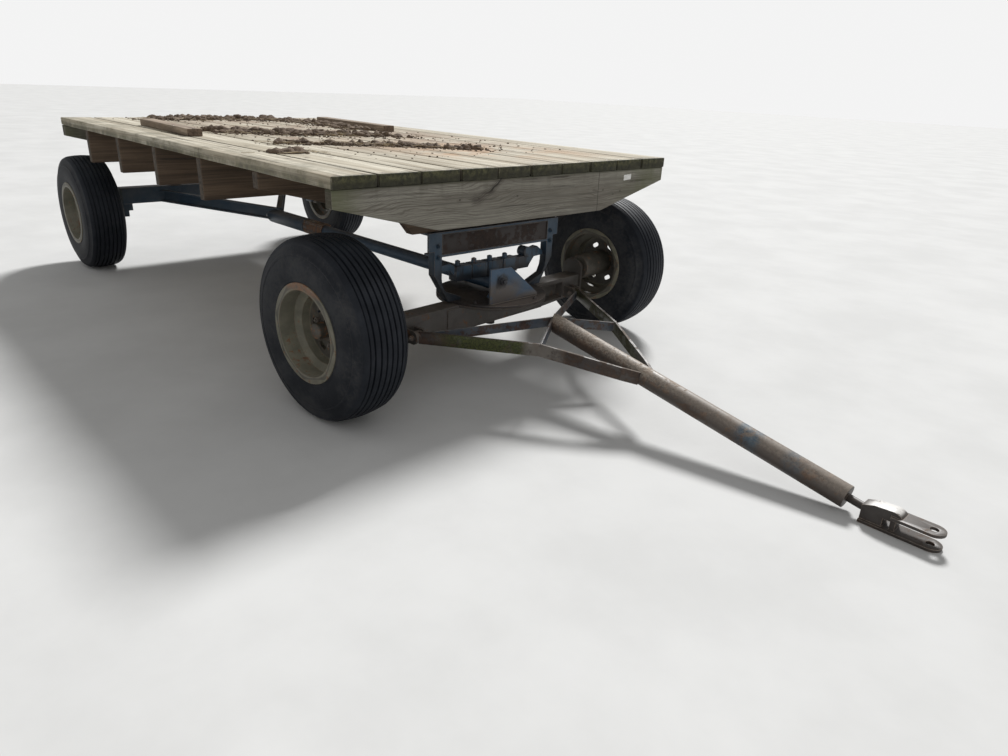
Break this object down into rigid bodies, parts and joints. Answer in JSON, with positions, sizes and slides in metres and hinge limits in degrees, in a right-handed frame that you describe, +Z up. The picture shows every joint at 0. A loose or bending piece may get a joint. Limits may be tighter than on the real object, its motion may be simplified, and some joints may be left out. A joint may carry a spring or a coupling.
{
  "type": "flat-bed farm hay wagon",
  "caption": "Four-wheel farm wagon with a plank deck on cross members, a turntable-steered front axle and a hinged tongue with a clevis.",
  "frame": {"origin": "On the ground, midway along the wagon's whole length with its tongue out straight, and midway across it.", "axes": "+X points forwards to the tongue, +Y to the wagon's left side, +Z up."},
  "size_m": [5.8858, 2.2954, 1.078],
  "materials": {
    "deck_wood": "weathered grey-yellow plank, bare",
    "frame_wood": "weathered brown timber, bare",
    "blue_steel": "worn dark blue paint with rust",
    "rusty_steel": "brown rust, matt",
    "grey_steel": "dusty grey-brown steel, matt",
    "tyre": "dusty black rubber",
    "rim_paint": "pale olive paint, worn"
  },
  "bodies": {
    "wagon": {"deck_board_01_front": "deck_wood", "deck_board_01_rear": "deck_wood", "deck_board_02": "deck_wood", "deck_board_03": "deck_wood", "deck_board_04": "deck_wood", "deck_board_05": "deck_wood", "deck_board_06": "deck_wood", "deck_board_07": "deck_wood", "deck_board_08": "deck_wood", "deck_board_09": "deck_wood", "deck_board_10": "deck_wood", "header_front": "frame_wood", "header_rear": "frame_wood", "plank_front": "frame_wood", "plank_rear": "frame_wood", "cleat_left": "frame_wood", "cleat_right": "frame_wood", "joist_1": "frame_wood", "joist_2": "frame_wood", "joist_3": "frame_wood", "joist_4": "frame_wood", "joist_5": "frame_wood", "bolster_beam": "rusty_steel", "bolster_yoke": "blue_steel", "clamp_bar": "blue_steel", "turntable_upper": "blue_steel", "reach_bracket": "blue_steel", "reach_tube": "blue_steel", "reach_sleeve": "blue_steel", "reach_collar": "rusty_steel", "rear_axle": "blue_steel", "rear_bolster": "blue_steel", "rear_hound_left": "rusty_steel", "rear_hound_right": "rusty_steel"},
    "front_axle": {"front_axle_beam": "grey_steel"},
    "tongue": {"tongue_hound_right": "rusty_steel", "tongue_hound_left": "rusty_steel", "tongue_brace_right": "rusty_steel", "tongue_brace_left": "rusty_steel", "tongue_tube": "rusty_steel", "clevis": "rusty_steel"},
    "wheel_front_right": {"tyre_front_right": "tyre", "rim_front_right": "rim_paint"},
    "wheel_front_left": {"tyre_front_left": "tyre", "rim_front_left": "rim_paint"},
    "wheel_rear_right": {"tyre_rear_right": "tyre", "rim_rear_right": "rim_paint"},
    "wheel_rear_left": {"tyre_rear_left": "tyre", "rim_rear_left": "rim_paint"}
  },
  "joints": [
    {"name": "steer", "type": "hinge", "parent": "wagon", "child": "front_axle", "pos_m": [0.693, 0, 0.371], "axis": [0, 0, 1], "range_deg": [-59.5, 50.5]},
    {"name": "tongue_lift", "type": "hinge", "parent": "front_axle", "child": "tongue", "pos_m": [0.79269, 0.00785, 0.292], "axis": [0.0785, -0.9969, 0], "range_deg": [0, 45]},
    {"name": "spin_front_right", "type": "hinge", "parent": "front_axle", "child": "wheel_front_right", "pos_m": [0.77122, -0.99393, 0.396], "axis": [-0.0785, 0.9969, 0], "continuous": true},
    {"name": "spin_front_left", "type": "hinge", "parent": "front_axle", "child": "wheel_front_left", "pos_m": [0.61478, 0.99393, 0.396], "axis": [-0.0785, 0.9969, 0], "continuous": true},
    {"name": "spin_rear_right", "type": "hinge", "parent": "wagon", "child": "wheel_rear_right", "pos_m": [-2.547, -0.997, 0.396], "axis": [0, 1, 0], "continuous": true},
    {"name": "spin_rear_left", "type": "hinge", "parent": "wagon", "child": "wheel_rear_left", "pos_m": [-2.547, 0.997, 0.396], "axis": [0, 1, 0], "continuous": true}
  ]
}
